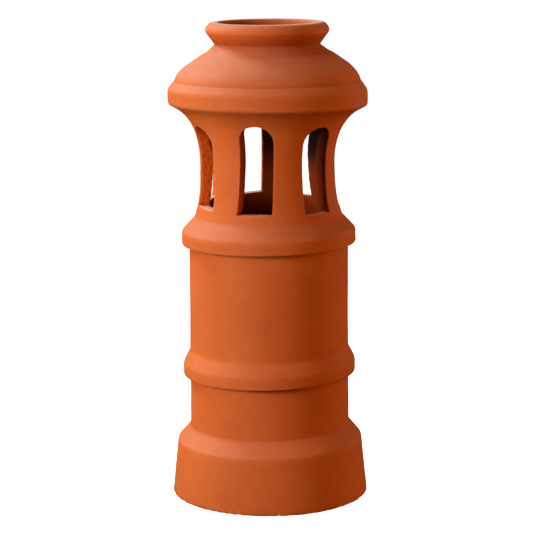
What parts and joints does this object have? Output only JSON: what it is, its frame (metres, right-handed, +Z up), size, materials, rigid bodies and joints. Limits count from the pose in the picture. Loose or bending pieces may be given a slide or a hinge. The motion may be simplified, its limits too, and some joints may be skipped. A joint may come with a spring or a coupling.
{
  "type": "chimney pot",
  "caption": "Tall hollow terracotta chimney pot with splayed foot, banded shaft, waisted lantern of arched windows, overhanging cap, dome and rolled rim.",
  "frame": {"origin": "centre of the underside, on the surface the pot stands on", "axes": "+Z up along the flue; -Y is the side with a window in its middle; +X to the right of it"},
  "size_m": [0.376, 0.376, 0.9],
  "materials": {
    "terracotta": "matt unglazed fired clay"
  },
  "bodies": {
    "root": {"chimney_pot": "terracotta"}
  },
  "joints": []
}
